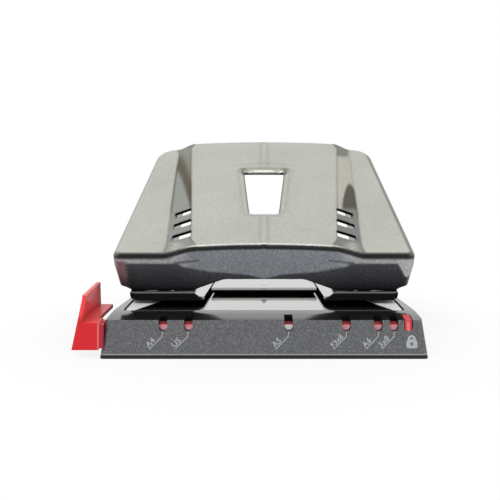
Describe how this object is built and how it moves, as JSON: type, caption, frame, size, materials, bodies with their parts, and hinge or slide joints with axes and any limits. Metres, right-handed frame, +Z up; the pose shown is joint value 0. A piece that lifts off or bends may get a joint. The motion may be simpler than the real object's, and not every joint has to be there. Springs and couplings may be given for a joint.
{
  "type": "two-hole desk punch",
  "caption": "Manual two-hole desk punch: sprung lever with a pierced silver cover, two punch pins, steel paper table, sliding paper guide and drop-down chip tray.",
  "frame": {"origin": "on the desk plane, on the plane of symmetry of the two pins, 47.5 mm behind the foot of the front face", "axes": "+Z up from the desk; +X to the right of a user who faces the paper side, along the row of pins; -Y towards that user"},
  "size_m": [0.1227, 0.101, 0.0753],
  "materials": {
    "satin_silver": "satin champagne-silver lacquer with fine grain",
    "polished_steel": "polished plate steel",
    "black_steel": "black painted pressed steel",
    "black_plastic": "black moulded plastic, fine texture on the front",
    "tray_plastic": "soft black plastic",
    "red_plastic": "glossy red plastic",
    "bright_steel": "turned and drawn bright steel"
  },
  "bodies": {
    "base": {"base_shell": "black_plastic", "die_plate": "polished_steel", "paper_stop": "tray_plastic", "throat_plate": "polished_steel", "jaw_plate_left": "polished_steel", "jaw_plate_right": "polished_steel", "jaw_cover_left": "black_plastic", "jaw_cover_right": "black_plastic", "punch_bracket_left": "black_steel", "punch_bracket_right": "black_steel", "pin_bush_left": "bright_steel", "pin_bush_right": "bright_steel", "plate_screws": "bright_steel", "hinge_axle": "bright_steel", "axle_clips": "bright_steel", "pin_spring_left": "bright_steel", "pin_spring_right": "bright_steel"},
    "handle": {"handle_cover": "satin_silver", "lever_arm_left": "black_steel", "lever_arm_right": "black_steel", "lever_tie": "black_steel", "lever_rivets": "bright_steel", "press_pin_left": "bright_steel", "press_pin_right": "bright_steel"},
    "pin_left": {"punch_pin_left": "bright_steel"},
    "pin_right": {"punch_pin_right": "bright_steel"},
    "guide": {"paper_guide": "red_plastic", "guide_tongue": "red_plastic"},
    "tray": {"chip_tray": "tray_plastic"}
  },
  "joints": [
    {"name": "handle_hinge", "type": "hinge", "parent": "base", "child": "handle", "pos_m": [0, -0.019, 0.0279], "axis": [-1, 0, 0], "range_deg": [0, 22], "stiffness_Nm_per_rad": 0.3, "springref_deg": -20.05},
    {"name": "pin_left_slide", "type": "slide", "parent": "base", "child": "pin_left", "axis": [0, 0, -1], "range_m": [0, 0.0059], "deforming": ["pin_spring_left"]},
    {"name": "pin_right_slide", "type": "slide", "parent": "base", "child": "pin_right", "axis": [0, 0, -1], "range_m": [0, 0.0059], "deforming": ["pin_spring_right"]},
    {"name": "guide_slide", "type": "slide", "parent": "base", "child": "guide", "axis": [-1, 0, 0], "range_m": [0, 0.085], "deforming": ["guide_tongue"]},
    {"name": "tray_hinge", "type": "hinge", "parent": "base", "child": "tray", "pos_m": [0, 0.04394, 0.0016], "axis": [1, 0, 0], "range_deg": [0, 70]}
  ],
  "couplings": [
    {"joint": "pin_left_slide", "follows": "handle_hinge", "m_per_rad": 0.0152},
    {"joint": "pin_right_slide", "follows": "handle_hinge", "m_per_rad": 0.0152}
  ]
}
